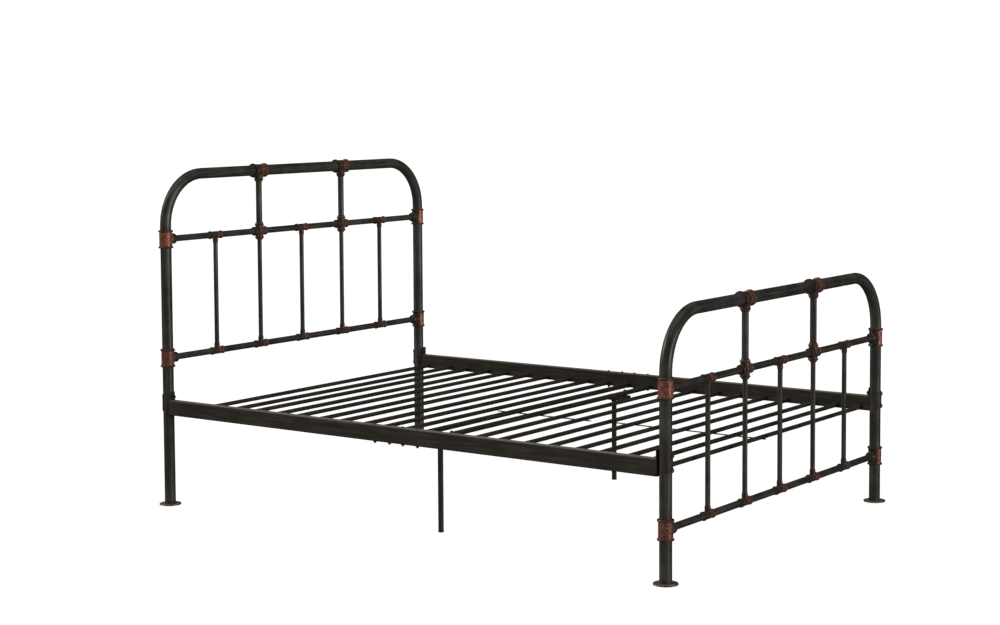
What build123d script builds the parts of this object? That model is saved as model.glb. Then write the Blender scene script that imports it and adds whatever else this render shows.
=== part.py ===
"""Metal bed frame in the manner of iron pipework, for a full-size mattress.

Millimetres. The origin is on the floor under the middle of the bed. +X runs
across the bed, +Y runs towards the headboard and +Z is up. Left is -X.
"""

import os

from build123d import *

os.makedirs("parts", exist_ok=True)

# Overall layout
post_x = 700.0  # half the distance between the two posts of a board
board_y = 1000.0  # half the distance between headboard and footboard
post_r = 19.0
post_wall = 2.0
hoop_bend = 175.0
rail_r = 11.0
spindle_r = 8.0
spindle_pitch = 228.5
heights = {
    "headboard": {"top": 1142.0, "upper": 922.0, "lower": 511.0},
    "footboard": {"top": 789.0, "upper": 572.0, "lower": 160.0},
}
board_sign = {"headboard": 1, "footboard": -1}
side_sign = {"left": -1, "right": 1}

# Pipe fittings
fit_gap = 0.1
post_seat = 22.0  # from a post's axis to the end of the tube socketed beside it
rail_seat = 12.6  # from a cross rail's axis to the end of the tube socketed in it
post_tee_half = 31.0
top_tee_half = 32.5
cross_half = 31.5
spindle_tee_half = 29.5

# Feet
foot_r = 37.5
foot_thick = 4.5
foot_hole_r = 4.0
foot_hole_circle_r = 29.0

# Side rails
side_rail_width = 28.0
side_rail_height = 52.0
side_rail_wall = 2.0
side_rail_base = 315.0
side_rail_top = side_rail_base + side_rail_height
side_rail_x = post_x + post_r - side_rail_width / 2
deck_half_width = post_x + post_r - side_rail_width
seam_y = {"left": -113.0, "right": 4.0}
splice_y = {"left": -10.0, "right": 8.0}
splice_span = {"left": (-175.0, 108.0), "right": (-112.0, 128.0)}
splice_bolt_offsets = (-86.0, -27.0, 27.0, 86.0)

# Joint between a side rail and its post
end_plate_thick = 3.0
end_plate_rise = 29.0
end_plate_y = board_y - post_r - end_plate_thick
post_bolt_heights = (side_rail_base + 20.0, side_rail_top + 10.0)
post_bolt_r = 4.0
saddle_thick = 2.5
saddle_height = 58.0

# Deck
slat_r = 7.1
slat_z = 325.5
middle_bar_r = 8.8
middle_bar_z = slat_z + slat_r - middle_bar_r
first_slat_y = 939.0
first_foot_slat_y = -197.0
wide_gap = 102.0
narrow_gap = 89.0
middle_bar_y = {"head": 0.0, "foot": -92.0}
strap_x = -10.0
strap_width = 12.0
strap_thick = 2.0

# Centre legs
leg_x = 522.0
leg_y = (middle_bar_y["head"] + middle_bar_y["foot"]) / 2
leg_r = 9.0
leg_wall = 1.5
bracket_ends_y = (-110.0, -26.0)
bracket_bolt_y = middle_bar_y["foot"]
bracket_width = 22.4
bracket_height = 20.0
bracket_wall = 2.0
bracket_top = middle_bar_z - middle_bar_r - 0.05
cap_height = 5.0


def save(builder, name):
    """Label a finished part and write it out."""
    builder.part.label = name
    export_step(builder.part, f"parts/{name}.step")


def axis_plane(origin, direction, across):
    """A plane whose z axis is a tube's axis and whose x axis points across it."""
    return Plane(origin=origin, x_dir=across, z_dir=direction)


def tube(name, start, direction, across, length, outer, inner=0.0):
    """A straight round tube, or a rod when inner is 0."""
    with BuildPart() as body:
        with BuildSketch(axis_plane(start, direction, across)):
            Circle(outer)
            if inner:
                Circle(inner, mode=Mode.SUBTRACT)
        extrude(amount=length)
    save(body, name)


def profile_plane(plane):
    """The plane through a tube's axis that its turned outline is drawn in."""
    return Plane(origin=plane.origin, x_dir=plane.x_dir, z_dir=-plane.y_dir)


def turned_sleeve(plane, sleeve, rim, half, rim_width):
    """Sleeve of a fitting, centred on the plane, with a rolled rim at each end."""
    edge = rim - 1.6
    with BuildSketch(profile_plane(plane)) as outline:
        with BuildLine():
            Line((0, -half), (edge, -half))
            ThreePointArc((edge, -half), (rim, -half + rim_width / 2), (edge, -half + rim_width))
            Line((edge, -half + rim_width), (sleeve, -half + rim_width + 1))
            Line((sleeve, -half + rim_width + 1), (sleeve, half - rim_width - 1))
            Line((sleeve, half - rim_width - 1), (edge, half - rim_width))
            ThreePointArc((edge, half - rim_width), (rim, half - rim_width / 2), (edge, half))
            Line((edge, half), (0, half))
            Line((0, half), (0, -half))
        make_face()
    revolve(outline.sketch, axis=Axis(plane.origin, plane.z_dir))


def turned_socket(plane, root, waist, ring, reach, mouth):
    """Socket of a fitting, growing from the plane's origin along its z axis."""
    ring_start = reach - 12.0
    ring_end = reach - 6.0
    with BuildSketch(profile_plane(plane)) as outline:
        with BuildLine():
            Line((0, 0), (root, 0))
            Line((root, 0), (waist, ring_start))
            ThreePointArc((waist, ring_start), (ring, (ring_start + ring_end) / 2), (waist, ring_end))
            ThreePointArc((waist, ring_end), (0.3 * waist + 0.7 * mouth + 0.5, reach - 2.4), (mouth, reach))
            Line((mouth, reach), (0, reach))
            Line((0, reach), (0, 0))
        make_face()
    revolve(outline.sketch, axis=Axis(plane.origin, plane.z_dir))


def cut_bores(run, run_r, half, sockets, seat):
    """Bore a fitting for the tube that runs through it and the tubes in its sockets."""
    with Locations(run.location):
        Cylinder(run_r + fit_gap, 2 * half + 2, mode=Mode.SUBTRACT)
    for plane, tube_r in sockets:
        with Locations(plane.offset(seat - fit_gap).location):
            Cylinder(
                tube_r + fit_gap,
                60,
                align=(Align.CENTER, Align.CENTER, Align.MIN),
                mode=Mode.SUBTRACT,
            )


def make_hoop(board):
    """Bent tube that forms both posts and the top of a board."""
    y = board_sign[board] * board_y
    top = heights[board]["top"]
    corners = [
        (-post_x, y, foot_thick),
        (-post_x, y, top),
        (post_x, y, top),
        (post_x, y, foot_thick),
    ]
    with BuildPart() as hoop:
        with BuildLine() as path:
            FilletPolyline(*corners, radius=hoop_bend)
        with BuildSketch(Plane(origin=corners[0], z_dir=(0, 0, 1))):
            Circle(post_r)
            Circle(post_r - post_wall, mode=Mode.SUBTRACT)
        sweep(path=path.line)
        with BuildSketch(Plane(origin=(0, y, 0), x_dir=(1, 0, 0), z_dir=(0, -1, 0))):
            for x in (-post_x, post_x):
                for z in post_bolt_heights:
                    with Locations((x, z)):
                        Circle(post_bolt_r + 0.3)
        extrude(amount=post_r + 2, both=True, mode=Mode.SUBTRACT)
    save(hoop, f"{board}_hoop")


def make_post_tees(board):
    """Tee on each post that holds the end of a cross rail."""
    y = board_sign[board] * board_y
    for level in ("upper", "lower"):
        for side, sign in side_sign.items():
            centre = (sign * post_x, y, heights[board][level])
            run = axis_plane(centre, (0, 0, 1), (1, 0, 0))
            socket = axis_plane(centre, (-sign, 0, 0), (0, 1, 0))
            with BuildPart() as tee:
                turned_sleeve(run, 22.3, 25.6, post_tee_half, 6.0)
                turned_socket(socket, 19.5, 16.6, 18.2, 45.0, 13.0)
                cut_bores(run, post_r, post_tee_half, [(socket, rail_r)], post_seat)
            save(tee, f"{board}_post_tee_{level}_{side}")


def make_cross_rails(board):
    """Horizontal tubes from post to post, through the small fittings."""
    y = board_sign[board] * board_y
    half = post_x - post_seat
    for level in ("upper", "lower"):
        start = (-half, y, heights[board][level])
        tube(f"{board}_{level}_rail", start, (1, 0, 0), (0, 1, 0), 2 * half, rail_r, rail_r - 1.5)


def top_tee():
    """Tee on a hoop's top tube, at the origin, with its socket facing down."""
    run = axis_plane((0, 0, 0), (1, 0, 0), (0, 1, 0))
    socket = axis_plane((0, 0, 0), (0, 0, -1), (0, 1, 0))
    with BuildPart() as tee:
        turned_sleeve(run, 22.3, 25.8, top_tee_half, 6.0)
        turned_socket(socket, 18.5, 15.4, 17.2, 40.5, 13.0)
        cut_bores(run, post_r, top_tee_half, [(socket, rail_r)], post_seat)
    return tee.part


def cross():
    """Four-way fitting at the origin, for a riser above and a spindle below."""
    run = axis_plane((0, 0, 0), (1, 0, 0), (0, 1, 0))
    up = axis_plane((0, 0, 0), (0, 0, 1), (0, 1, 0))
    down = axis_plane((0, 0, 0), (0, 0, -1), (0, 1, 0))
    with BuildPart() as body:
        turned_sleeve(run, 14.4, 16.6, cross_half, 6.0)
        turned_socket(up, 15.5, 14.6, 17.0, 32.0, 12.6)
        turned_socket(down, 15.5, 14.4, 16.8, 32.0, 10.2)
        Sphere(17.6)
        cut_bores(run, rail_r, cross_half, [(up, rail_r), (down, spindle_r)], rail_seat)
    return body.part


def spindle_tee():
    """Small tee at the origin, with its socket facing down."""
    run = axis_plane((0, 0, 0), (1, 0, 0), (0, 1, 0))
    socket = axis_plane((0, 0, 0), (0, 0, -1), (0, 1, 0))
    with BuildPart() as tee:
        turned_sleeve(run, 12.7, 14.4, spindle_tee_half, 6.0)
        turned_socket(socket, 10.2, 9.4, 9.9, 28.0, 8.8)
        cut_bores(run, rail_r, spindle_tee_half, [(socket, spindle_r)], rail_seat)
    return tee.part


def make_board_fittings(board):
    """Copies of the small fittings, grouped by kind."""
    y = board_sign[board] * board_y
    level = heights[board]
    pair = (-spindle_pitch, spindle_pitch)
    with BuildPart() as top_tees:
        with Locations(*[(x, y, level["top"]) for x in pair]):
            add(top_tee())
    save(top_tees, f"{board}_top_tees")
    with BuildPart() as crosses:
        with Locations(*[(x, y, level["upper"]) for x in pair]):
            add(cross())
    save(crosses, f"{board}_crosses")
    with BuildPart() as small_tees:
        with Locations(*[(column * spindle_pitch, y, level["upper"]) for column in (-2, 0, 2)]):
            add(spindle_tee())
        with Locations(*[(column * spindle_pitch, y, level["lower"]) for column in range(-2, 3)]):
            add(spindle_tee().rotate(Axis.X, 180))
    save(small_tees, f"{board}_spindle_tees")


def make_uprights(board):
    """Five spindles between the cross rails and two risers up to the top tube."""
    y = board_sign[board] * board_y
    level = heights[board]
    spindle_start = level["lower"] + rail_seat
    spindle_length = level["upper"] - rail_seat - spindle_start
    for number, column in enumerate((-2, -1, 0, 1, 2), start=1):
        start = (column * spindle_pitch, y, spindle_start)
        name = f"{board}_spindle_{number}"
        tube(name, start, (0, 0, 1), (1, 0, 0), spindle_length, spindle_r, spindle_r - 1.2)
    riser_start = level["upper"] + rail_seat
    riser_length = level["top"] - post_seat - riser_start
    for side, sign in side_sign.items():
        start = (sign * spindle_pitch, y, riser_start)
        tube(f"{board}_riser_{side}", start, (0, 0, 1), (1, 0, 0), riser_length, rail_r, rail_r - 1.5)


def make_feet(board):
    """Round floor flange with four screw holes under each post."""
    y = board_sign[board] * board_y
    with BuildPart() as feet:
        for sign in (-1, 1):
            with BuildSketch(Plane(origin=(sign * post_x, y, 0))):
                Circle(foot_r)
                with PolarLocations(foot_hole_circle_r, 4, start_angle=45):
                    Circle(foot_hole_r, mode=Mode.SUBTRACT)
            extrude(amount=foot_thick - 0.05)
            with Locations((sign * post_x, y, foot_thick - 0.05)):
                Cylinder(post_r - post_wall - 0.2, 14, align=(Align.CENTER, Align.CENTER, Align.MIN))
        rims = feet.edges().filter_by(GeomType.CIRCLE).filter_by(lambda edge: abs(edge.radius - foot_r) < 0.01)
        fillet(rims.filter_by(lambda edge: edge.center().Z > 1.0), 1.6)
    save(feet, f"{board}_feet")


def box_section(width, height, wall, corner):
    """Sketch of a rectangular tube's section, centred on the sketch's origin."""
    RectangleRounded(width, height, corner)
    RectangleRounded(width - 2 * wall, height - 2 * wall, corner - wall / 2, mode=Mode.SUBTRACT)


def make_side_rail(side, end, start_y, end_y):
    """One half of a side rail, from start_y to end_y, with holes for its splice bolts."""
    x = side_sign[side] * side_rail_x
    middle_z = side_rail_base + side_rail_height / 2
    bolt_places = [splice_y[side] + offset for offset in splice_bolt_offsets]
    bolt_places = [(x, bolt_y) for bolt_y in bolt_places if start_y < bolt_y < end_y]
    with BuildPart() as rail:
        with BuildSketch(Plane(origin=(x, start_y, middle_z), x_dir=(-1, 0, 0), z_dir=(0, 1, 0))):
            box_section(side_rail_width, side_rail_height, side_rail_wall, 3.5)
        extrude(amount=end_y - start_y)
        if bolt_places:
            with BuildSketch(Plane.XY.offset(side_rail_base - 1)):
                with Locations(*bolt_places):
                    Circle(3.3)
            extrude(amount=side_rail_height + 2, mode=Mode.SUBTRACT)
    save(rail, f"side_rail_{side}_{end}")


def make_splice_sleeves():
    """Inner box sleeves that join the two halves of each side rail."""
    middle_z = side_rail_base + side_rail_height / 2
    width = side_rail_width - 2 * side_rail_wall - 0.4
    height = side_rail_height - 2 * side_rail_wall - 0.4
    with BuildPart() as sleeves:
        for side, sign in side_sign.items():
            low, high = splice_span[side]
            origin = (sign * side_rail_x, low, middle_z)
            with BuildSketch(Plane(origin=origin, x_dir=(-1, 0, 0), z_dir=(0, 1, 0))):
                box_section(width, height, 1.8, 2.4)
            extrude(amount=high - low)
        with BuildSketch(Plane.XY.offset(side_rail_base)):
            for side, sign in side_sign.items():
                for offset in splice_bolt_offsets:
                    with Locations((sign * side_rail_x, splice_y[side] + offset)):
                        Circle(3.3)
        extrude(amount=side_rail_height, mode=Mode.SUBTRACT)
    save(sleeves, "splice_sleeves")


def bolt(plane, length, shank_r, head_r, head_height):
    """Round-headed bolt with the head's seat on the plane and the shank going down its -z."""
    shoulder = 0.4 * head_height
    crown_r = 0.45 * head_r
    with Locations(plane.location):
        Cylinder(shank_r, length, align=(Align.CENTER, Align.CENTER, Align.MAX))
        Cylinder(head_r, shoulder, align=(Align.CENTER, Align.CENTER, Align.MIN))
    with Locations(plane.offset(shoulder).location):
        Cone(head_r, crown_r, head_height - shoulder, align=(Align.CENTER, Align.CENTER, Align.MIN))


def nut(plane, shank_r, across_flats, thick):
    """Hexagon nut that starts on the plane and goes down its -z."""
    with BuildSketch(plane) as outline:
        RegularPolygon(across_flats / 2, 6, major_radius=False, rotation=30)
        Circle(shank_r + 0.08, mode=Mode.SUBTRACT)
    extrude(outline.sketch, amount=-thick)


def make_splice_bolts():
    """Eight vertical bolts with nuts that clamp the rails to their splice sleeves."""
    with BuildPart() as bolts:
        for side, sign in side_sign.items():
            for offset in splice_bolt_offsets:
                place = (sign * side_rail_x, splice_y[side] + offset)
                bolt(Plane(origin=(*place, side_rail_top + 0.05)), side_rail_height + 8, 3.0, 5.6, 4.2)
                nut(Plane(origin=(*place, side_rail_base - 0.05)), 3.0, 10.0, 5.0)
    save(bolts, "splice_bolts")


def make_end_plates():
    """Plate on each rail end that stands against the post and rises above the rail."""
    height = side_rail_height + end_plate_rise
    with BuildPart() as plates:
        for sign_x in (-1, 1):
            for sign_y in (-1, 1):
                origin = (sign_x * side_rail_x, sign_y * end_plate_y, side_rail_base + height / 2)
                with BuildSketch(Plane(origin=origin, x_dir=(1, 0, 0), z_dir=(0, -1, 0))):
                    RectangleRounded(side_rail_width, height, 5.0)
                    for z in post_bolt_heights:
                        with Locations((sign_x * (post_x - side_rail_x), z - origin[2])):
                            Circle(post_bolt_r + 0.3, mode=Mode.SUBTRACT)
                extrude(amount=-sign_y * (end_plate_thick - 0.05))
    save(plates, "rail_end_plates")


def make_saddles():
    """Curved washer plate on the outer side of each post, under the two bolt heads."""
    low = (post_bolt_heights[0] + post_bolt_heights[1] - saddle_height) / 2
    inner = post_r + 0.1
    outer = inner + saddle_thick
    with BuildPart() as saddles:
        for sign_x in (-1, 1):
            for sign_y in (-1, 1):
                with BuildSketch(Plane(origin=(sign_x * post_x, sign_y * board_y, low))):
                    Circle(outer)
                    Circle(inner, mode=Mode.SUBTRACT)
                    with Locations((0, sign_y * 20.0)):
                        Rectangle(37.0, 26.0, mode=Mode.INTERSECT)
                extrude(amount=saddle_height)
        with BuildSketch(Plane.XZ.offset(-board_y - 60)):
            for x in (-post_x, post_x):
                for z in post_bolt_heights:
                    with Locations((x, z)):
                        Circle(post_bolt_r + 0.3)
        extrude(amount=2 * board_y + 120, mode=Mode.SUBTRACT)
    save(saddles, "post_saddles")


def make_post_bolts():
    """Two bolts through each post, with heads outside the bed and nuts on the end plates."""
    head_seat = board_y + post_r + 0.1 + saddle_thick + 0.05
    nut_seat = end_plate_y - 0.05
    with BuildPart() as bolts:
        for x in (-post_x, post_x):
            for sign_y in (-1, 1):
                for z in post_bolt_heights:
                    seat = Plane(origin=(x, sign_y * head_seat, z), x_dir=(1, 0, 0), z_dir=(0, sign_y, 0))
                    bolt(seat, head_seat - nut_seat + 9, post_bolt_r, 7.2, 5.6)
                    back = Plane(origin=(x, sign_y * nut_seat, z), x_dir=(1, 0, 0), z_dir=(0, sign_y, 0))
                    nut(back, post_bolt_r, 13.0, 6.5)
    save(bolts, "post_bolts")


def head_slat_positions():
    """Distances along Y of the slats in the head half, from the headboard inwards."""
    places = [first_slat_y]
    for _ in range(4):
        places.append(places[-1] - wide_gap)
        places.append(places[-1] - narrow_gap)
    places.append(places[-1] - narrow_gap)
    return places


def foot_slat_positions():
    """Distances along Y of the slats in the foot half, from the middle outwards."""
    places = [first_foot_slat_y]
    for _ in range(3):
        places.append(places[-1] - narrow_gap)
        places.append(places[-1] - wide_gap)
    places.append(places[-1] - narrow_gap)
    places.append(places[-1] - narrow_gap)
    return places


def make_slats(name, places):
    """Round tubular slats welded between the inner faces of the side rails."""
    half = deck_half_width - 0.05
    with BuildPart() as slats:
        with BuildSketch(Plane.YZ.offset(-half)):
            for y in places:
                with Locations((y, slat_z)):
                    Circle(slat_r)
                    Circle(slat_r - 1.2, mode=Mode.SUBTRACT)
        extrude(amount=2 * half)
    save(slats, name)


def make_middle_bars():
    """The two thicker crosswise tubes in the middle that carry the centre legs."""
    half = deck_half_width - 0.05
    for end, y in middle_bar_y.items():
        with BuildPart() as bar:
            with BuildSketch(Plane.YZ.offset(-half)):
                with Locations((y, middle_bar_z)):
                    Circle(middle_bar_r)
                    Circle(middle_bar_r - 1.5, mode=Mode.SUBTRACT)
            extrude(amount=2 * half)
            if y == bracket_bolt_y:
                with BuildSketch(Plane.XY.offset(middle_bar_z - 12)):
                    for x in (-leg_x, leg_x):
                        with Locations((x, y)):
                            Circle(3.3)
                extrude(amount=24, mode=Mode.SUBTRACT)
        save(bar, f"middle_bar_{end}")


def make_leg_bracket(side):
    """Downward-facing channel that hangs a leg from the foot-side middle bar."""
    x = side_sign[side] * leg_x
    start_y, end_y = bracket_ends_y
    with BuildPart() as bracket:
        origin = (x, start_y, bracket_top - bracket_height / 2)
        with BuildSketch(Plane(origin=origin, x_dir=(-1, 0, 0), z_dir=(0, 1, 0))):
            Rectangle(bracket_width, bracket_height)
            with Locations((0, -bracket_wall)):
                Rectangle(bracket_width - 2 * bracket_wall, bracket_height, mode=Mode.SUBTRACT)
        extrude(amount=end_y - start_y)
        with BuildSketch(Plane.XY.offset(bracket_top - 5)):
            with Locations((x, bracket_bolt_y)):
                Circle(3.3)
        extrude(amount=8, mode=Mode.SUBTRACT)
        ends = bracket.edges().filter_by(Axis.X).filter_by(
            lambda edge: edge.center().Z > bracket_top - 0.01 and edge.length > bracket_width - 0.1
        )
        fillet(ends, 1.2)
    save(bracket, f"leg_bracket_{side}")


def make_leg(side):
    """Centre leg: a straight tube with a flared weld collar below its bracket."""
    centre = (side_sign[side] * leg_x, leg_y, 0)
    top = bracket_top - bracket_wall - 0.1
    collar_top = bracket_top - bracket_height - 0.1
    with BuildPart() as leg:
        with BuildSketch(profile_plane(axis_plane(centre, (0, 0, 1), (1, 0, 0)))):
            with BuildLine():
                Line((leg_r - leg_wall, cap_height), (leg_r, cap_height))
                Line((leg_r, cap_height), (leg_r, collar_top - 9))
                ThreePointArc((leg_r, collar_top - 9), (leg_r + 1.2, collar_top - 3.2), (leg_r + 4, collar_top))
                Line((leg_r + 4, collar_top), (leg_r, collar_top))
                Line((leg_r, collar_top), (leg_r, top))
                Line((leg_r, top), (leg_r - leg_wall, top))
                Line((leg_r - leg_wall, top), (leg_r - leg_wall, cap_height))
            make_face()
        revolve(axis=Axis(centre, (0, 0, 1)))
    save(leg, f"centre_leg_{side}")


def make_leg_cap(side):
    """Plastic cap under a centre leg, with a plug up inside the tube."""
    centre = (side_sign[side] * leg_x, leg_y, 0)
    with BuildPart() as cap:
        with Locations(centre):
            Cylinder(leg_r + 0.3, cap_height - 0.05, align=(Align.CENTER, Align.CENTER, Align.MIN))
            Cylinder(leg_r - leg_wall - 0.1, 22, align=(Align.CENTER, Align.CENTER, Align.MIN))
        chamfer(cap.faces().sort_by(Axis.Z)[0].edges(), 0.8)
    save(cap, f"leg_cap_{side}")


def make_bracket_bolts():
    """A bolt down through a middle bar into each leg bracket, with its nut inside the channel."""
    with BuildPart() as bolts:
        for x in (-leg_x, leg_x):
            head = (x, bracket_bolt_y, middle_bar_z + middle_bar_r + 0.05)
            bolt(Plane(origin=head), 27.5, 3.0, 5.6, 4.2)
            nut(Plane(origin=(x, bracket_bolt_y, bracket_top - bracket_wall - 0.05)), 3.0, 10.0, 5.0)
    save(bolts, "bracket_bolts")


def make_strap():
    """Flat steel strap under the deck, in two pieces that end at slats."""
    foot_slats = foot_slat_positions()
    under_bars = middle_bar_z - middle_bar_r - strap_thick - 0.1
    under_slats = slat_z - slat_r - strap_thick - 0.1
    pieces = (
        (under_bars, head_slat_positions()[-1], foot_slats[1]),
        (under_slats, foot_slats[2], foot_slats[-1]),
    )
    with BuildPart() as strap:
        for z, head_slat, foot_slat in pieces:
            with BuildSketch(Plane.XY.offset(z)):
                with Locations((strap_x, (head_slat + foot_slat) / 2)):
                    SlotOverall(head_slat - foot_slat + 16, strap_width, rotation=90)
                for y in (head_slat, foot_slat):
                    with Locations((strap_x, y)):
                        Circle(2.2, mode=Mode.SUBTRACT)
            extrude(amount=strap_thick)
    save(strap, "centre_strap")


for board_name in board_sign:
    make_hoop(board_name)
    make_post_tees(board_name)
    make_cross_rails(board_name)
    make_board_fittings(board_name)
    make_uprights(board_name)
    make_feet(board_name)

for side_name in side_sign:
    make_side_rail(side_name, "foot", -end_plate_y + 0.05, seam_y[side_name] - 0.1)
    make_side_rail(side_name, "head", seam_y[side_name] + 0.1, end_plate_y - 0.05)
    make_leg_bracket(side_name)
    make_leg(side_name)
    make_leg_cap(side_name)

make_splice_sleeves()
make_splice_bolts()
make_end_plates()
make_saddles()
make_post_bolts()
make_slats("slats_head", head_slat_positions())
make_slats("slats_foot", foot_slat_positions())
make_middle_bars()
make_bracket_bolts()
make_strap()
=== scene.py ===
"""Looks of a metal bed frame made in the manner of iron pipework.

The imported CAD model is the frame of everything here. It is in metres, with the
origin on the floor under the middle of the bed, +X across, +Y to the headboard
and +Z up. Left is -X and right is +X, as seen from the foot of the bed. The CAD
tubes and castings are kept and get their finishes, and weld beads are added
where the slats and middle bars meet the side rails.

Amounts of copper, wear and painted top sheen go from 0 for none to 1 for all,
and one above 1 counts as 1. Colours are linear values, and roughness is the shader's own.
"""

import math

import bmesh
import bpy
from mathutils import Euler, Matrix, Vector


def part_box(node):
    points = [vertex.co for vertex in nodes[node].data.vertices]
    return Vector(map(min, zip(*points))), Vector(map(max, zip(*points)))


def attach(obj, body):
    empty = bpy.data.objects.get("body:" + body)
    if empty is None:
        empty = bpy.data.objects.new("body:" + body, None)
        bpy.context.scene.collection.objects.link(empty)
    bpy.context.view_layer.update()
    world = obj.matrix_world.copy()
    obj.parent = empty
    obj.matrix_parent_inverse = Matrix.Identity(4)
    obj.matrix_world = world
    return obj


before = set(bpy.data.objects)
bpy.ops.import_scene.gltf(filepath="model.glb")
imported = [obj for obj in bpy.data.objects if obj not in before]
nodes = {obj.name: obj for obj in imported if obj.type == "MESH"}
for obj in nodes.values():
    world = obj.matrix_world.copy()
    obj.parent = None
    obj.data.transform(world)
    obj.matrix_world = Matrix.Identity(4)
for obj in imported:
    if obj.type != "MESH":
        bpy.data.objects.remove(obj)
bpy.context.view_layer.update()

BOARDS = ("headboard", "footboard")
SIDES = ("left", "right")

# Places read from the frame
hoop_low, hoop_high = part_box("headboard_hoop")
riser_low, riser_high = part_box("headboard_riser_right")
post_r = (hoop_high.y - hoop_low.y) / 2
post_x = hoop_high.x - post_r
spindle_pitch = (riser_low.x + riser_high.x) / 2

# Radius of the hoop's bends, along the tube's axis
hoop_bend = 0.175

# Pipe fittings: width of a rolled rim, and half the length of each kind of sleeve
rim_width = 0.006
post_tee_half = 0.031
top_tee_half = 0.0325
cross_half = 0.0315
spindle_tee_half = 0.0295

# How far the small fittings' sockets reach from the tube's axis, across it
top_tee_reach = 0.0405
cross_reach = 0.032
spindle_tee_reach = 0.028

# Along X: what is beyond left_from is on the left, and what is past left_until is on the right
left_from = -0.1
left_until = 0.0

# Shift of the noise that keeps the hoop's left and right halves from mirroring each other
halves_apart = 5.0

# Weld beads: the section's size, its ripple and waver, its gap from the tube, the steps round
# it, and how the waver shifts from one bead to the next
weld_size = 0.0013
weld_ripple = 0.0003
weld_waver = 0.0002
weld_gap = 0.0002
weld_steps = 48
weld_corners = 8
steps_per_ripple = 4
weld_phase = 1.7


def middle_z(name):
    """Height of the middle of a CAD node."""
    low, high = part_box(name)
    return (low.z + high.z) / 2


def middle_y(name):
    """Distance along Y of the middle of a CAD node."""
    low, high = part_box(name)
    return (low.y + high.y) / 2


upper_z = {board: middle_z(f"{board}_upper_rail") for board in BOARDS}
lower_z = {board: middle_z(f"{board}_lower_rail") for board in BOARDS}
top_z = {board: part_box(f"{board}_hoop")[1].z - post_r for board in BOARDS}


# ---------------------------------------------------------------- materials


class Graph:
    """Node graph of one material, built around its Principled shader."""

    def __init__(self, name, roughness, specular=0.0, metallic=0.5):
        self.material = bpy.data.materials.new(name)
        self.material.use_nodes = True
        self.tree = self.material.node_tree
        self.shader = self.tree.nodes["Principled BSDF"]
        self.shader.inputs["Roughness"].default_value = roughness
        self.shader.inputs["Specular IOR Level"].default_value = specular
        self.shader.inputs["Metallic"].default_value = metallic
        self.shader.inputs["Specular Tint"].default_value = rgb(0.05, 0.05, 0.05)
        self.place = self.tree.nodes.new("ShaderNodeTexCoord").outputs["Object"]
        split = self.tree.nodes.new("ShaderNodeSeparateXYZ")
        self.tree.links.new(self.place, split.inputs[0])
        self.x, self.y, self.z = split.outputs

    def feed(self, socket, value):
        """Set a socket to a plain value, or link another socket to it."""
        if isinstance(value, bpy.types.NodeSocket):
            self.tree.links.new(value, socket)
        else:
            socket.default_value = value

    def math(self, operation, *values):
        """One Math node."""
        node = self.tree.nodes.new("ShaderNodeMath")
        node.operation = operation
        for socket, value in zip(node.inputs, values):
            self.feed(socket, value)
        return node.outputs[0]

    def ramp(self, value, start, end, low=0.0, high=1.0):
        """Smooth step of a value from start to end, given back as low to high."""
        node = self.tree.nodes.new("ShaderNodeMapRange")
        node.interpolation_type = "SMOOTHSTEP"
        for socket, given in zip(node.inputs, (value, start, end, low, high)):
            self.feed(socket, given)
        return node.outputs[0]

    def line(self, value, at, width):
        """A thin soft band, 1 where the value is at its place and 0 a width away."""
        away = self.math("ABSOLUTE", self.math("SUBTRACT", value, at))
        return self.ramp(away, width, 0.3 * width)

    def most(self, *values):
        """The largest of several numbers."""
        result = values[0]
        for value in values[1:]:
            result = self.math("MAXIMUM", result, value)
        return result

    def vector(self, x, y, z):
        """Three numbers as one vector."""
        node = self.tree.nodes.new("ShaderNodeCombineXYZ")
        for socket, value in zip(node.inputs, (x, y, z)):
            self.feed(socket, value)
        return node.outputs[0]

    def normal_z(self):
        """How far the surface faces up, from -1 to 1."""
        geometry = self.tree.nodes.new("ShaderNodeNewGeometry")
        split = self.tree.nodes.new("ShaderNodeSeparateXYZ")
        self.tree.links.new(geometry.outputs["Normal"], split.inputs[0])
        return split.outputs["Z"]

    def noise(self, scale, detail=3.0, roughness=0.55, place=None):
        """Noise of about scale cells a metre along each axis, on a place or object coordinates."""
        stretch = self.tree.nodes.new("ShaderNodeMapping")
        self.feed(stretch.inputs["Vector"], place or self.place)
        self.feed(stretch.inputs["Scale"], scale)
        node = self.tree.nodes.new("ShaderNodeTexNoise")
        self.feed(node.inputs["Vector"], stretch.outputs[0])
        node.inputs["Scale"].default_value = 1.0
        node.inputs["Detail"].default_value = detail
        node.inputs["Roughness"].default_value = roughness
        return node.outputs[0]

    def blend(self, amount, first, second):
        """Mix two numbers."""
        node = self.tree.nodes.new("ShaderNodeMix")
        node.data_type = "FLOAT"
        factor, number_a, number_b = node.inputs[0], node.inputs[2], node.inputs[3]
        self.feed(factor, amount)
        self.feed(number_a, first)
        self.feed(number_b, second)
        return node.outputs[0]

    def tint(self, amount, first, second):
        """Mix two colours."""
        node = self.tree.nodes.new("ShaderNodeMix")
        node.data_type = "RGBA"
        factor, colour_a, colour_b = node.inputs[0], node.inputs[6], node.inputs[7]
        self.feed(factor, amount)
        self.feed(colour_a, first)
        self.feed(colour_b, second)
        return node.outputs[2]

    def bump(self, height, distance, strength=1.0):
        """Relief of the given depth in metres."""
        node = self.tree.nodes.new("ShaderNodeBump")
        node.inputs["Strength"].default_value = strength
        node.inputs["Distance"].default_value = distance
        self.feed(node.inputs["Height"], height)
        self.feed(self.shader.inputs["Normal"], node.outputs[0])


def rgb(red, green, blue):
    """Colour with full alpha, in linear values."""
    return (red, green, blue, 1.0)


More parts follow.
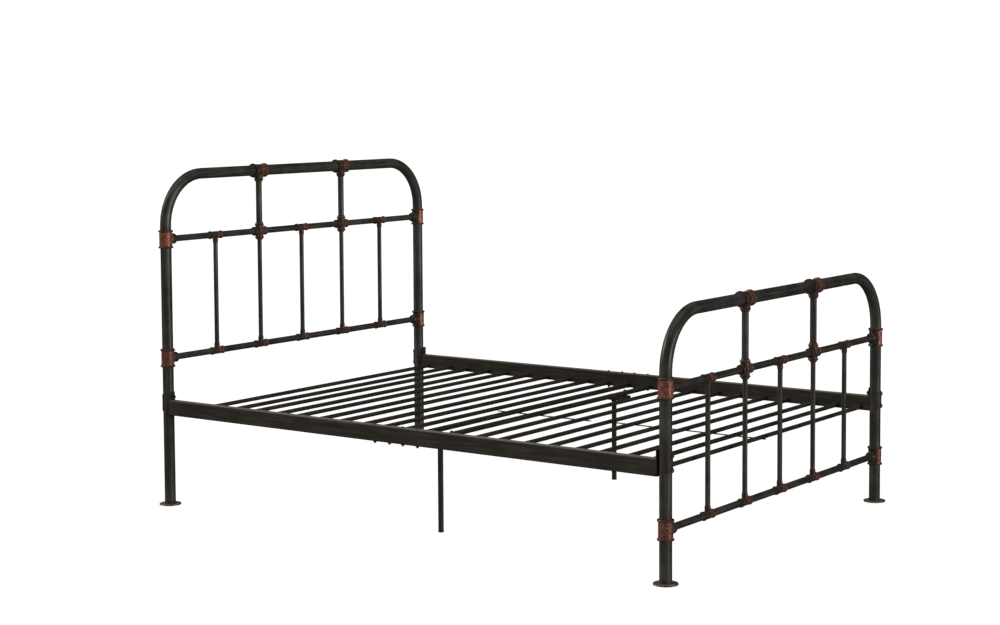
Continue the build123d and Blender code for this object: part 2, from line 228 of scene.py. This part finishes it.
def even(scale):
    """The same scale along all three axes."""
    return (scale, scale, scale)


CHARCOAL = rgb(0.0136, 0.0128, 0.0112)
CHARCOAL_WORN = rgb(0.0280, 0.0261, 0.0226)
# Painted light: warm brown for the tubes' downward faces, as of warm light from below
PAINTED_WARM_UNDERLIGHT = rgb(0.0300, 0.0170, 0.0095)
BROWN_BLACK = rgb(0.0128, 0.0112, 0.0092)
BROWN_BLACK_WORN = rgb(0.0215, 0.0188, 0.0154)
# Painted highlight: a pale sheen for faces that look up, as of light from above
PAINTED_TOP_SHEEN = rgb(0.0760, 0.0700, 0.0610)
CAST_DARK = rgb(0.0135, 0.0118, 0.0100)
CAST_BROWN = rgb(0.0330, 0.0230, 0.0175)
COPPER = rgb(0.1950, 0.0640, 0.0420)
COPPER_DEEP = rgb(0.0620, 0.0250, 0.0170)
BRONZE_PIT = rgb(0.0220, 0.0170, 0.0130)
BRONZE = rgb(0.0850, 0.0660, 0.0500)
BOLT_BLACK = rgb(0.0160, 0.0150, 0.0150)
BOLT_SCUFFED = rgb(0.0850, 0.0800, 0.0740)
PLASTIC_BLACK = rgb(0.0100, 0.0100, 0.0100)
PLASTIC_DUSTY = rgb(0.0220, 0.0210, 0.0200)
FLOOR_GREY = rgb(0.0550, 0.0550, 0.0550)
FLOOR_MOTTLE = rgb(0.0650, 0.0650, 0.0650)
WHITE = rgb(1.0, 1.0, 1.0)
FLOOR_GLOW = 0.90

# Streak cells a metre along X, Y and Z: broad bands and fine streaks, long along the tube
STREAKS_UP = ((170.0, 170.0, 4.0), (420.0, 420.0, 9.0))
STREAKS_ACROSS = ((4.0, 170.0, 170.0), (9.0, 420.0, 420.0))
TUBE_ROUGHNESS = 0.38

# Brush marks on the fittings, in the same unit
BRUSHED_POST_TEE = (330.0, 330.0, 120.0)
BRUSHED_SMALL = (330.0, 140.0, 140.0)

# How much painted sheen, as of light from above, lightens faces that look up
TOP_SHEEN_ON_RAILS = 0.75
TOP_SHEEN_ON_DECK = 0.06


def tube_paint(g, streak, place=None):
    """Charcoal enamel with drawn streaks and grain, and painted warm light on the faces that look
    down.
    """
    broad, fine = streak
    bands = g.noise(broad, 2.0, place=place)
    streaks = g.noise(fine, 2.0, place=place)
    grain = g.noise(even(900.0), 2.0)
    cloud = g.noise(even(14.0), 3.0)
    drawn = g.math("ADD", g.math("MULTIPLY", bands, 0.6), g.math("MULTIPLY", streaks, 0.4))
    wear = g.ramp(g.math("ADD", drawn, g.math("MULTIPLY", cloud, 0.6)), 0.66, 0.98)
    colour = g.tint(wear, CHARCOAL, CHARCOAL_WORN)
    # Painted light: faces that look down are tinted warm brown, as if lit warmly from below
    painted_underlight = g.ramp(g.normal_z(), -0.55, -0.92, 0.0, 0.9)
    colour = g.tint(painted_underlight, colour, PAINTED_WARM_UNDERLIGHT)
    g.feed(g.shader.inputs["Base Color"], colour)
    g.feed(g.shader.inputs["Roughness"], g.ramp(drawn, 0.35, 0.65, 0.30, 0.46))
    relief = g.math("ADD", g.math("MULTIPLY", grain, 0.3), g.math("MULTIPLY", drawn, 1.6))
    g.bump(relief, 0.00025, 0.7)
    return g.material


def hoop_paint(board):
    """Charcoal enamel whose streaks follow the hoop up its posts, round its bends and over."""
    g = Graph(f"{board}_hoop_paint", TUBE_ROUGHNESS)
    out = g.math("SUBTRACT", g.math("ABSOLUTE", g.x), post_x - hoop_bend)
    up = g.math("SUBTRACT", g.z, top_z[board] - hoop_bend)
    turned_out = g.math("MAXIMUM", out, 0.0)
    turned_up = g.math("MAXIMUM", up, 0.0)
    squares = g.math("ADD", g.math("POWER", turned_out, 2.0), g.math("POWER", turned_up, 2.0))
    across = g.math("SQRT", squares)
    round_bend = g.math("MULTIPLY", g.math("ARCTAN2", turned_up, turned_out), hoop_bend)
    along_top = g.math("MAXIMUM", g.math("MULTIPLY", out, -1.0), 0.0)
    along = g.math("ADD", g.math("MINIMUM", up, 0.0), g.math("ADD", round_bend, along_top))
    along = g.math("ADD", along, g.math("MULTIPLY", g.math("SIGN", g.x), halves_apart))
    place = g.vector(across, g.y, along)
    return tube_paint(g, STREAKS_UP, place)


def patina(name, rubbed, streak):
    """Dark casting with copper rubbed through; rubbed(g) says how much of it shows where."""
    g = Graph(name, 0.42)
    brushed = g.noise(streak, 3.0, 0.6)
    blotch = g.noise(even(110.0), 3.0, 0.6)
    grain = g.noise(even(700.0), 2.0)
    rubbing = g.math("ADD", brushed, g.math("MULTIPLY", blotch, 0.7))
    worn_through = g.ramp(rubbing, 0.66, 1.02, 0.34, 0.92)
    amount = g.math("MULTIPLY", rubbed(g), worn_through)
    copper = g.tint(g.ramp(brushed, 0.38, 0.66), COPPER_DEEP, COPPER)
    dark = g.tint(g.ramp(blotch, 0.42, 0.72), CAST_DARK, CAST_BROWN)
    g.feed(g.shader.inputs["Base Color"], g.tint(amount, dark, copper))
    g.feed(g.shader.inputs["Roughness"], g.ramp(brushed, 0.3, 0.7, 0.34, 0.50))
    relief = g.math("ADD", g.math("MULTIPLY", grain, 0.5), blotch)
    g.bump(relief, 0.00035, 0.6)
    return g.material


def rim_edges(g, distance, half):
    """Copper lines where a rolled rim meets its sleeve and, fainter, at its outer edge."""
    groove_inset = 0.0006
    groove_width = 0.0013
    lip_inset = 0.0004
    lip_width = 0.0011
    lip_share = 0.4
    groove = g.line(distance, half - rim_width - groove_inset, groove_width)
    lip = g.line(distance, half - lip_inset, lip_width)
    return g.most(groove, g.math("MULTIPLY", lip, lip_share))


def from_levels(g, board):
    """Height above the nearer cross rail, turned over for the lower one, whose fittings look up."""
    middle = (upper_z[board] + lower_z[board]) / 2
    gap = (upper_z[board] - lower_z[board]) / 2
    return g.math("SUBTRACT", g.math("ABSOLUTE", g.math("SUBTRACT", g.z, middle)), gap)


def local_x(g):
    """Distance along X from the nearest upright's axis."""
    return g.math("WRAP", g.x, spindle_pitch / 2, -spindle_pitch / 2)


def post_tee_patina(board):
    """Copper all round the left posts' tees, and on the right ones only at edges and one side.

    That side faces to the right and the foot of the bed, along (0.58, -0.82) in X and Y.
    """
    post_y = middle_y(f"{board}_hoop")
    to_right = 0.58
    to_foot = 0.82
    sleeve_end = post_tee_half - rim_width

    def rubbed(g):
        on_left = g.ramp(g.x, left_until, left_from)
        out_x = g.math("SUBTRACT", g.math("ABSOLUTE", g.x), post_x)
        behind = g.math("SUBTRACT", g.y, post_y)
        right_part = g.math("MULTIPLY", out_x, to_right)
        foot_right = g.math("SUBTRACT", right_part, g.math("MULTIPLY", behind, to_foot))
        height = g.math("ABSOLUTE", from_levels(g, board))
        level = g.ramp(g.z, lower_z[board] + 0.1, upper_z[board] - 0.1, 0.66, 1.0)
        off_socket = g.ramp(out_x, -0.0238, -0.0205)
        on_sleeve = g.ramp(height, sleeve_end - 0.0005, sleeve_end - 0.0015, 0.0, 0.80)
        body = g.math("MULTIPLY", on_sleeve, off_socket)
        edges = rim_edges(g, height, post_tee_half)
        all_round = g.most(body, edges)
        column = g.math("MULTIPLY", g.ramp(foot_right, 0.0020, 0.0150, 0.08, 1.7), body)
        lines = g.math("MULTIPLY", g.ramp(foot_right, -0.0100, 0.0060, 0.10, 1.8), edges)
        return g.math("MULTIPLY", g.blend(on_left, g.most(column, lines), all_round), level)

    return patina(f"{board}_post_tee_patina", rubbed, BRUSHED_POST_TEE)


def small_fitting_patina(name, half, reach, ringed, heights):
    """Copper on the right half of a small fitting and on the edges of its rims and sockets.

    half is half its sleeve's length and reach its sockets', ringed says how much copper the
    sockets' rims have, and heights(g) gives the height from the fitting's own axis.
    """
    ring_width = 0.0018
    inner_ring = reach - 0.0125
    outer_ring = reach - 0.0055
    socket_from = reach - 0.0160
    socket_to = reach - 0.0140
    sleeve_end = half - rim_width
    rubbed_at = 0.0035

    def rubbed(g):
        x = local_x(g)
        along = g.math("ABSOLUTE", x)
        drop = g.math("ABSOLUTE", heights(g))
        side = g.ramp(x, -0.002, 0.010, 0.04, 0.34)
        rim = g.ramp(along, sleeve_end - 0.0005, sleeve_end, 1.0, 0.25)
        to_right = g.ramp(x, -0.004, 0.012, 0.10, 0.80)
        edges = g.math("MULTIPLY", rim_edges(g, along, half), to_right)
        ring = g.most(g.line(drop, inner_ring, ring_width), g.line(drop, outer_ring, ring_width))
        on_socket = g.ramp(drop, socket_from, socket_to)
        rubbed_line = g.math("MULTIPLY", g.line(x, rubbed_at, rubbed_at), 0.85)
        sleeve = g.math("MULTIPLY", g.most(side, rubbed_line), rim)
        body = g.math("MULTIPLY", sleeve, g.ramp(on_socket, 0.0, 1.0, 1.0, 0.35))
        return g.most(body, edges, g.math("MULTIPLY", ring, ringed))

    return patina(name, rubbed, BRUSHED_SMALL)


def rail_paint(name, streak, top_sheen):
    """Satin brown-black enamel with drawn streaks, a little orange peel and a painted sheen on its
    top faces, as of light from above.
    """
    g = Graph(name, 0.46)
    streaks = g.noise(streak, 2.0)
    cloud = g.noise(even(9.0), 3.0)
    peel = g.noise(even(420.0), 2.0)
    wear = g.ramp(g.math("ADD", streaks, g.math("MULTIPLY", cloud, 0.6)), 0.66, 1.05)
    # Painted highlight: faces that look up are lightened, as if lit from above
    dust_and_sheen = g.ramp(g.normal_z(), 0.75, 0.98, 0.0, top_sheen)
    paint_colour = g.tint(wear, BROWN_BLACK, BROWN_BLACK_WORN)
    g.feed(g.shader.inputs["Base Color"], g.tint(dust_and_sheen, paint_colour, PAINTED_TOP_SHEEN))
    g.feed(g.shader.inputs["Roughness"], g.ramp(streaks, 0.3, 0.7, 0.40, 0.55))
    g.bump(g.math("ADD", peel, g.math("MULTIPLY", streaks, 0.4)), 0.00012, 0.5)
    return g.material


def foot_bronze():
    """Dull bronze casting, darker in its pits."""
    g = Graph("foot_bronze", 0.5)
    blotch = g.noise(even(120.0), 4.0, 0.6)
    grain = g.noise(even(800.0), 2.0)
    colour = g.tint(g.ramp(blotch, 0.36, 0.64), BRONZE_PIT, BRONZE)
    g.feed(g.shader.inputs["Base Color"], colour)
    g.feed(g.shader.inputs["Roughness"], g.ramp(grain, 0.3, 0.7, 0.42, 0.62))
    g.bump(g.math("ADD", blotch, g.math("MULTIPLY", grain, 0.5)), 0.0004, 0.6)
    return g.material


def bolt_steel():
    """Blackened steel with scuffed crowns."""
    g = Graph("bolt_steel", 0.4, 0.05, 0.8)
    scuff = g.noise(even(340.0), 3.0, 0.6)
    colour = g.tint(g.ramp(scuff, 0.5, 0.72), BOLT_BLACK, BOLT_SCUFFED)
    g.feed(g.shader.inputs["Base Color"], colour)
    g.feed(g.shader.inputs["Roughness"], g.ramp(scuff, 0.35, 0.7, 0.5, 0.3))
    g.bump(scuff, 0.0002, 0.5)
    return g.material


def cap_plastic():
    """Matte black moulded plastic."""
    g = Graph("cap_plastic", 0.65, 0.1, 0.0)
    grain = g.noise(even(1100.0), 2.0)
    dust_and_sheen = g.noise(even(60.0), 3.0)
    colour = g.tint(g.ramp(dust_and_sheen, 0.5, 0.8), PLASTIC_BLACK, PLASTIC_DUSTY)
    g.feed(g.shader.inputs["Base Color"], colour)
    g.feed(g.shader.inputs["Roughness"], g.ramp(grain, 0.3, 0.7, 0.58, 0.72))
    g.bump(grain, 0.00015, 0.5)
    return g.material


def floor_paint():
    """White studio floor that glows a little, as a sweep lit from below does, with faint mottling."""
    g = Graph("studio_floor", 0.9, 0.0, 0.0)
    mottle = g.noise(even(1.5))
    g.feed(g.shader.inputs["Base Color"], g.tint(mottle, FLOOR_GREY, FLOOR_MOTTLE))
    g.shader.inputs["Emission Color"].default_value = WHITE
    g.shader.inputs["Emission Strength"].default_value = FLOOR_GLOW
    return g.material


def paint(name, material):
    """Give a CAD node its finish, in every slot that it has."""
    slots = nodes[name].material_slots
    if slots:
        for slot in slots:
            slot.material = material
    else:
        nodes[name].data.materials.append(material)


def add_small_fittings(plain, board):
    """Finishes of a board's top tees, crosses and spindle tees, each with its own axis height."""

    def from_top(g):
        return g.math("SUBTRACT", g.z, top_z[board])

    def from_upper(g):
        return g.math("SUBTRACT", g.z, upper_z[board])

    def from_rails(g):
        return from_levels(g, board)

    kinds = {
        "top_tees": (top_tee_half, top_tee_reach, 0.35, from_top),
        "crosses": (cross_half, cross_reach, 0.50, from_upper),
        "spindle_tees": (spindle_tee_half, spindle_tee_reach, 0.0, from_rails),
    }
    for kind, facts in kinds.items():
        name = f"{board}_{kind}"
        plain[name] = small_fitting_patina(f"{name}_patina", *facts)


def finish_nodes():
    """Assign a finish to every CAD node by its name, and give back the deck's."""
    upright = tube_paint(Graph("upright_paint", TUBE_ROUGHNESS), STREAKS_UP)
    crosswise = tube_paint(Graph("crosswise_paint", TUBE_ROUGHNESS), STREAKS_ACROSS)
    rail = rail_paint("side_rail_paint", (300.0, 7.0, 300.0), TOP_SHEEN_ON_RAILS)
    deck = rail_paint("deck_paint", (7.0, 300.0, 300.0), TOP_SHEEN_ON_DECK)
    leg = rail_paint("leg_paint", (300.0, 300.0, 7.0), TOP_SHEEN_ON_DECK)
    bolts = bolt_steel()
    plain = {
        "rail_end_plates": rail,
        "splice_sleeves": rail,
        "post_saddles": rail,
        "splice_bolts": bolts,
        "post_bolts": bolts,
        "bracket_bolts": bolts,
        "slats_head": deck,
        "slats_foot": deck,
        "middle_bar_head": deck,
        "middle_bar_foot": deck,
        "centre_strap": rail,
    }
    bronze = foot_bronze()
    for board in BOARDS:
        plain[f"{board}_hoop"] = hoop_paint(board)
        plain[f"{board}_feet"] = bronze
        post_fitting = post_tee_patina(board)
        add_small_fittings(plain, board)
        for level in ("upper", "lower"):
            plain[f"{board}_{level}_rail"] = crosswise
            for side in SIDES:
                plain[f"{board}_post_tee_{level}_{side}"] = post_fitting
        for side in SIDES:
            plain[f"{board}_riser_{side}"] = upright
        for number in range(1, 6):
            plain[f"{board}_spindle_{number}"] = upright
    cap = cap_plastic()
    for side in SIDES:
        plain[f"side_rail_{side}_head"] = rail
        plain[f"side_rail_{side}_foot"] = rail
        plain[f"leg_bracket_{side}"] = deck
        plain[f"centre_leg_{side}"] = leg
        plain[f"leg_cap_{side}"] = cap
    for name in nodes:
        paint(name, plain[name])
    return deck


# ------------------------------------------------------------------- welds


def tube_ends(name):
    """Centre and radius of each crosswise tube of a deck node, at its end on the right rail."""
    end_depth = 0.0005
    least_gap = 0.010
    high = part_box(name)[1]
    corners = [vertex.co for vertex in nodes[name].data.vertices]
    points = [corner for corner in corners if corner.x > high.x - end_depth]
    points.sort(key=lambda point: point.y)
    tubes = [[points[0]]]
    for point in points[1:]:
        if point.y - tubes[-1][-1].y > least_gap:
            tubes.append([])
        tubes[-1].append(point)
    ends = []
    for tube in tubes:
        heights = [point.z for point in tube]
        centre_y = (tube[0].y + tube[-1].y) / 2
        centre_z = (min(heights) + max(heights)) / 2
        radius = (tube[-1].y - tube[0].y) / 2
        ends.append((high.x, centre_y, centre_z, radius))
    return ends


def weld_ring(mesh, centre, inward, radius, seed):
    """Closed bead round a tube where it meets a rail, with ripples of uneven size."""
    x, y, z = centre
    rows = []
    for step in range(weld_steps):
        angle = math.tau * step / weld_steps
        ripple = 0.5 + 0.5 * math.cos(math.tau * step / steps_per_ripple)
        size = weld_size + weld_ripple * ripple + weld_waver * math.sin(2 * angle + seed)
        row = []
        for corner in range(weld_corners):
            turn = math.tau * corner / weld_corners
            out = radius + weld_gap + size * math.cos(turn)
            along = inward * (weld_gap + size * math.sin(turn))
            place = (x + along, y + out * math.cos(angle), z + out * math.sin(angle))
            row.append(mesh.verts.new(place))
        rows.append(row)
    for step, first in enumerate(rows):
        second = rows[(step + 1) % weld_steps]
        for corner in range(weld_corners):
            after = (corner + 1) % weld_corners
            mesh.faces.new((first[corner], first[after], second[after], second[corner]))


def add_deck_welds(material):
    """Weld beads at both ends of every slat and middle bar."""
    tubes = []
    for name in ("slats_head", "slats_foot", "middle_bar_head", "middle_bar_foot"):
        tubes += tube_ends(name)
    for side, sign in (("left", -1), ("right", 1)):
        mesh = bmesh.new()
        for number, (x, y, z, radius) in enumerate(tubes):
            weld_ring(mesh, (sign * x, y, z), -sign, radius, weld_phase * number)
        bmesh.ops.recalc_face_normals(mesh, faces=mesh.faces[:])
        for face in mesh.faces:
            face.smooth = True
        bead_mesh = bpy.data.meshes.new(f"deck_welds_{side}")
        mesh.to_mesh(bead_mesh)
        mesh.free()
        bead_mesh.materials.append(material)
        beads = bpy.data.objects.new(f"deck_welds_{side}", bead_mesh)
        bpy.context.scene.collection.objects.link(beads)
        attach(beads, "root")


# ------------------------------------------------------------------ studio

# Half the floor's width
FLOOR_HALF = 60.0

# Backdrop brightness near the horizon and overhead, and the heights that it changes between
BACKDROP_LOW = 1.0
BACKDROP_HIGH = 0.30
BACKDROP_FROM = 0.10
BACKDROP_TO = 0.45

# Suns: name, strength, spread in degrees and the direction that the light comes from
SUNS = (
    ("top_light", 5.0, 60.0, (0.20, 0.14, 0.97)),
    ("right_softbox", 5.0, 20.0, (0.12, -0.97, 0.10)),
    ("left_softbox", 7.5, 24.0, (-0.40, 0.80, 0.45)),
)

# Camera: place, degrees of yaw from +Y towards +X, of pitch down and of roll, lens in mm, shift
CAMERA_PLACE = (-5.5710, -3.9278, 1.4340)
CAMERA_YAW = 54.735
CAMERA_PITCH = 4.106
CAMERA_ROLL = -0.298
CAMERA_LENS = 71.63
CAMERA_SHIFT = (-0.0180, -0.0816)


def build_floor():
    """Pale floor, far larger than the view."""
    low, high = -FLOOR_HALF, FLOOR_HALF
    corners = [(low, low, 0), (high, low, 0), (high, high, 0), (low, high, 0)]
    floor_mesh = bpy.data.meshes.new("studio_floor")
    floor_mesh.from_pydata(corners, [], [(0, 1, 2, 3)])
    floor_mesh.materials.append(floor_paint())
    floor = bpy.data.objects.new("studio_floor", floor_mesh)
    bpy.context.scene.collection.objects.link(floor)


def build_backdrop():
    """Pale backdrop all round, dimmer overhead."""
    world = bpy.data.worlds.new("studio")
    world.use_nodes = True
    bpy.context.scene.world = world
    tree = world.node_tree
    background = tree.nodes["Background"]
    direction = tree.nodes.new("ShaderNodeTexCoord").outputs["Generated"]
    split = tree.nodes.new("ShaderNodeSeparateXYZ")
    tree.links.new(direction, split.inputs[0])
    ramp = tree.nodes.new("ShaderNodeMapRange")
    ramp.interpolation_type = "SMOOTHSTEP"
    ramp.inputs["From Min"].default_value = BACKDROP_FROM
    ramp.inputs["From Max"].default_value = BACKDROP_TO
    ramp.inputs["To Min"].default_value = BACKDROP_LOW
    ramp.inputs["To Max"].default_value = BACKDROP_HIGH
    tree.links.new(split.outputs["Z"], ramp.inputs["Value"])
    tree.links.new(ramp.outputs[0], background.inputs["Strength"])
    background.inputs["Color"].default_value = WHITE


def add_sun(name, strength, spread_deg, source):
    """Very soft light that comes from the direction of source."""
    light = bpy.data.lights.new(name, "SUN")
    light.energy = strength
    light.angle = math.radians(spread_deg)
    sun = bpy.data.objects.new(name, light)
    sun.rotation_euler = Vector(source).to_track_quat("Z", "Y").to_euler()
    bpy.context.scene.collection.objects.link(sun)


def build_camera():
    """Long lens, off the near corner of the foot end at standing eye height."""
    camera = bpy.data.cameras.new("camera")
    camera.sensor_width = 36.0
    camera.lens = CAMERA_LENS
    camera.shift_x, camera.shift_y = CAMERA_SHIFT
    camera.clip_end = 200.0
    seen_from = bpy.data.objects.new("camera", camera)
    yaw, pitch, roll = (math.radians(angle) for angle in (CAMERA_YAW, CAMERA_PITCH, CAMERA_ROLL))
    aim = Euler((math.pi / 2 - pitch, 0.0, -yaw)).to_matrix()
    turn = aim @ Matrix.Rotation(roll, 3, "Z")
    seen_from.matrix_world = Matrix.Translation(CAMERA_PLACE) @ turn.to_4x4()
    bpy.context.scene.collection.objects.link(seen_from)
    bpy.context.scene.camera = seen_from


deck_finish = finish_nodes()
add_deck_welds(deck_finish)
build_floor()
build_backdrop()
for sun_facts in SUNS:
    add_sun(*sun_facts)
build_camera()
bpy.context.scene.view_settings.view_transform = "Standard"
